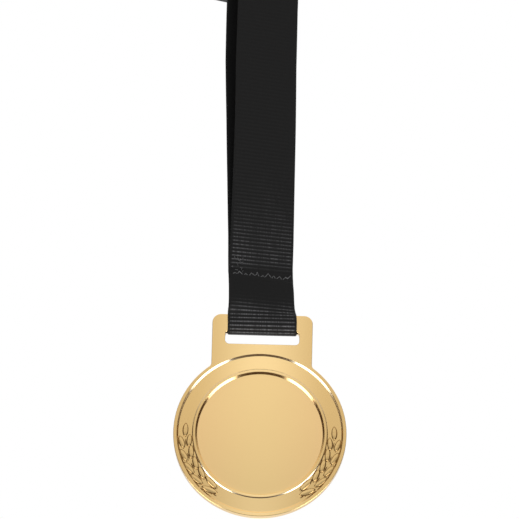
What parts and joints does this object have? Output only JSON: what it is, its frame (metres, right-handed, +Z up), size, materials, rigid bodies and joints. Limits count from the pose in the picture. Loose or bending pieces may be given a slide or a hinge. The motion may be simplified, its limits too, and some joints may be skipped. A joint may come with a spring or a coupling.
{
  "type": "award medal on neck ribbon",
  "caption": "Round gold-coloured medal with a blank recessed centre, laurel border and slotted tab, hanging from a sewn black ribbon wound up at its top.",
  "frame": {"origin": "centre of the round winding of ribbon, on the axis of the rail or peg that holds it", "axes": "+Z up, -Y towards the viewer of the medal's face, +X to that viewer's right"},
  "size_m": [0.0504, 0.0429, 0.1996],
  "materials": {
    "gold_plate": "satin-polished gold plate on die-cast zinc",
    "grosgrain": "black polyester grosgrain, ribbed across",
    "thread": "black spun polyester thread"
  },
  "bodies": {
    "ribbon": {"ribbon_roll": "grosgrain", "front_strap": "grosgrain", "back_strap": "grosgrain"},
    "loop": {"hanger_loop": "grosgrain", "needle_thread": "thread", "bobbin_thread": "thread"},
    "medal": {"medal_casting": "gold_plate"}
  },
  "joints": [
    {"name": "ribbon_twist", "type": "hinge", "parent": "ribbon", "child": "loop", "pos_m": [0.00855, -0.01608, -0.1083], "axis": [0, 0, 1], "range_deg": [-90, 90], "stiffness_Nm_per_rad": 0.00015},
    {"name": "medal_swing", "type": "hinge", "parent": "loop", "child": "medal", "pos_m": [0.00855, -0.01608, -0.1239], "axis": [1, 0, 0], "range_deg": [-120, 120]}
  ]
}
